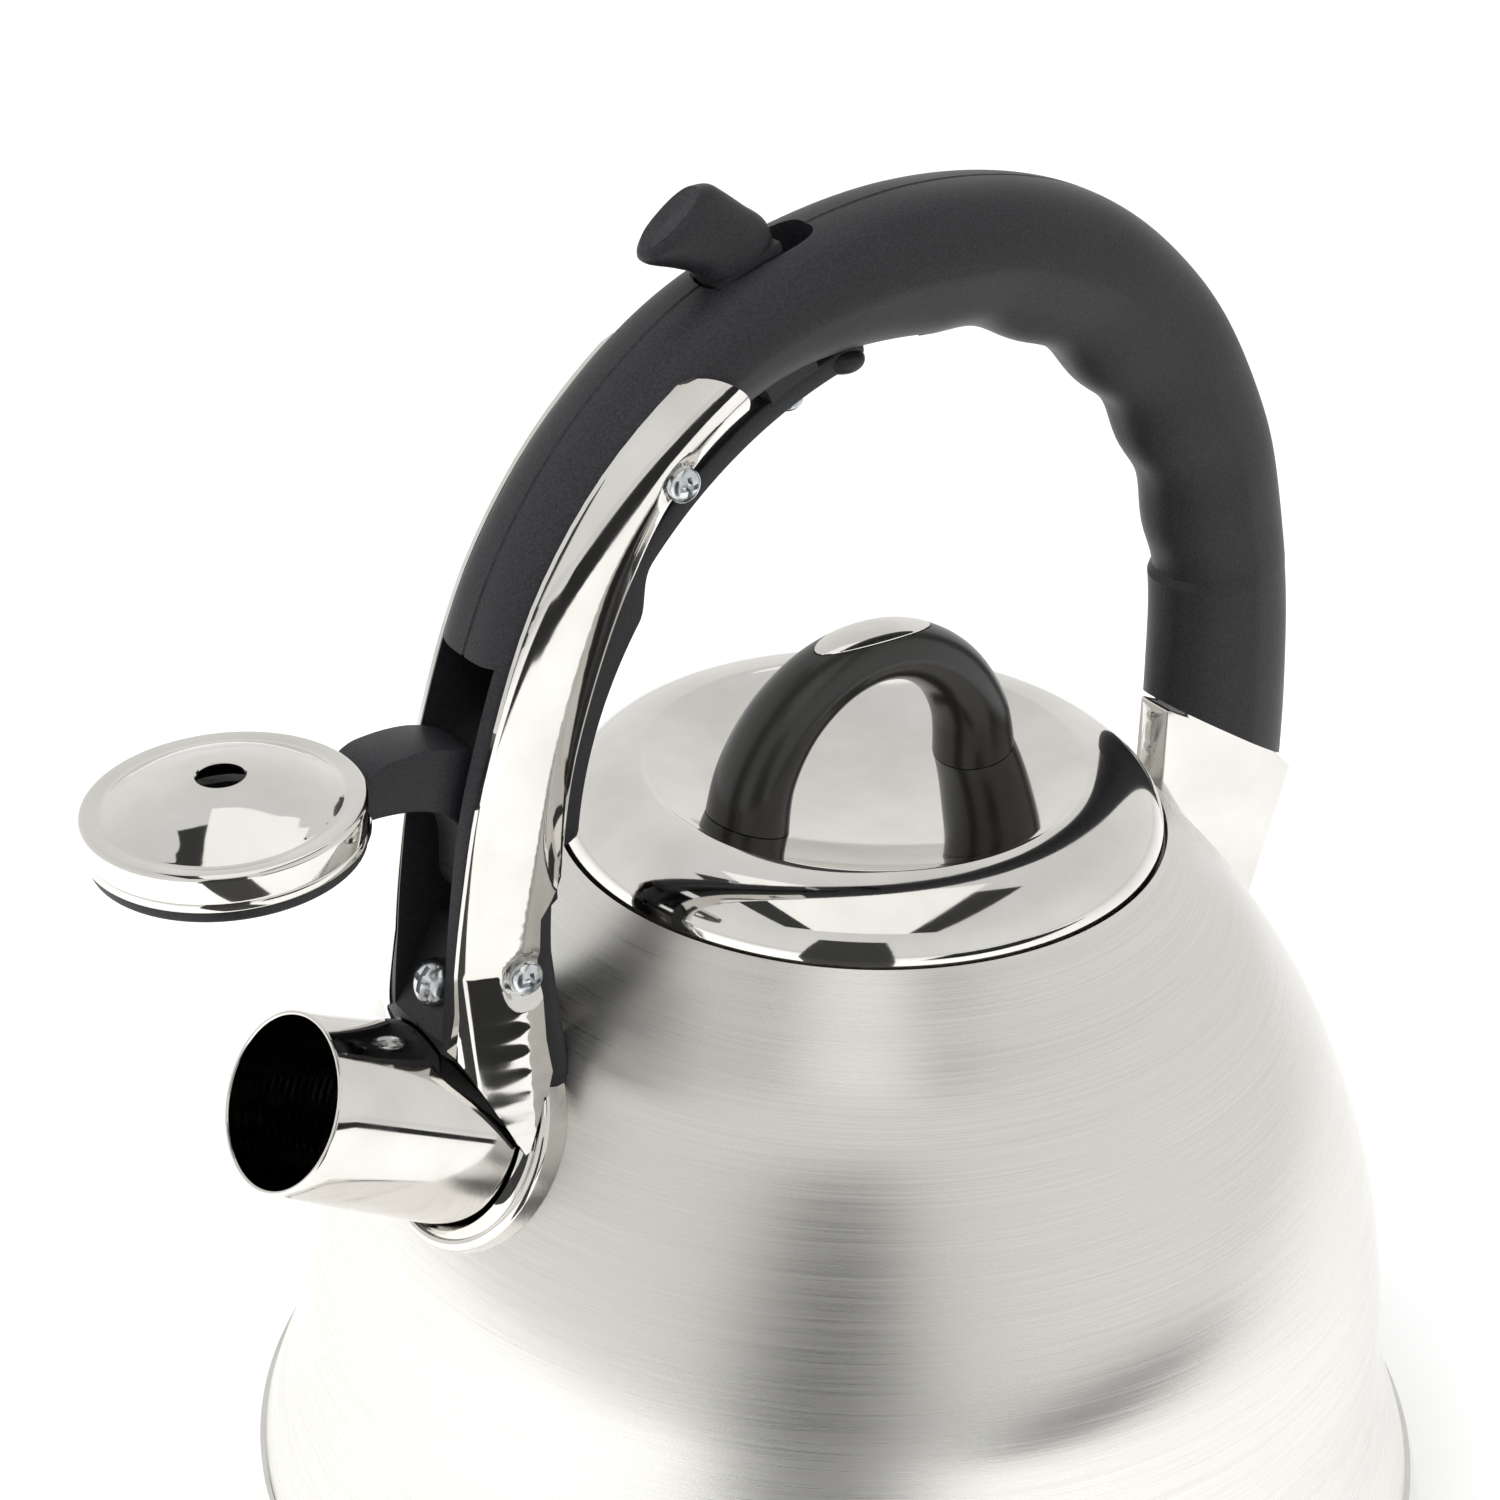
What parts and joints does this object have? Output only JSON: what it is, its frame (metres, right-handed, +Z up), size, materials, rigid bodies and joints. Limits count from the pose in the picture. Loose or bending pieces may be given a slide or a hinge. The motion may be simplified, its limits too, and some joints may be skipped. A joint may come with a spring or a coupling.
{
  "type": "stovetop whistling kettle",
  "caption": "Brushed steel stovetop kettle with an arched black handle, flip-up whistle on the spout and a lift-off lid with an arch knob.",
  "frame": {"origin": "centre of the flat underside", "axes": "+Z up; the spout points along -X and the handle arches over the lid in the XZ plane"},
  "size_m": [0.2488, 0.2156, 0.2705],
  "materials": {
    "brushed": "brushed round the body",
    "mirror": "mirror-polished stainless steel",
    "aluminium": "plain rolled",
    "zinc": "zinc-plated",
    "plastic": "fine spark-eroded texture",
    "knob": "smooth satin"
  },
  "bodies": {
    "kettle": {"body_shell": "brushed", "base_pan": "mirror", "base_cap": "brushed", "heat_spreader_disc": "aluminium", "spout": "mirror", "spout_collar": "mirror", "handle_shell": "plastic", "rear_bracket": "mirror", "front_bracket": "brushed", "bracket_screw": "zinc", "rear_handle_screw": "zinc", "trim_plate_near": "mirror", "trim_plate_far": "mirror", "trim_screw_upper_near": "zinc", "trim_screw_upper_far": "zinc", "trim_screw_lower_near": "zinc", "trim_screw_lower_far": "zinc", "pivot_pin": "zinc"},
    "slider": {"slide_bar": "plastic", "thumb_tab": "plastic", "tab_screw": "zinc"},
    "whistle": {"whistle_arm": "plastic", "whistle_cap": "mirror", "whistle_plate_upper": "brushed", "whistle_plate_lower": "brushed", "crank_pin": "zinc"},
    "lid": {"lid_shell": "mirror", "lid_skirt": "brushed", "lid_knob": "knob", "knob_inlay": "mirror", "knob_screw_front": "zinc", "knob_screw_rear": "zinc", "knob_washer_front": "zinc", "knob_washer_rear": "zinc"}
  },
  "joints": [
    {"name": "whistle_pivot", "type": "hinge", "parent": "kettle", "child": "whistle", "pos_m": [-0.0749, 0, 0.167], "axis": [0, 1, 0], "range_deg": [-59, 0]},
    {"name": "bar_slide", "type": "hinge", "parent": "kettle", "child": "slider", "pos_m": [0.012, 0, 0.164], "axis": [0, 1, 0], "range_deg": [0, 3.95]},
    {"name": "lid_lift", "type": "slide", "parent": "kettle", "child": "lid", "axis": [0, 0, 1], "range_m": [0, 0.028]}
  ],
  "couplings": [
    {"joint": "bar_slide", "follows": "whistle_pivot", "ratio": -0.0661}
  ]
}
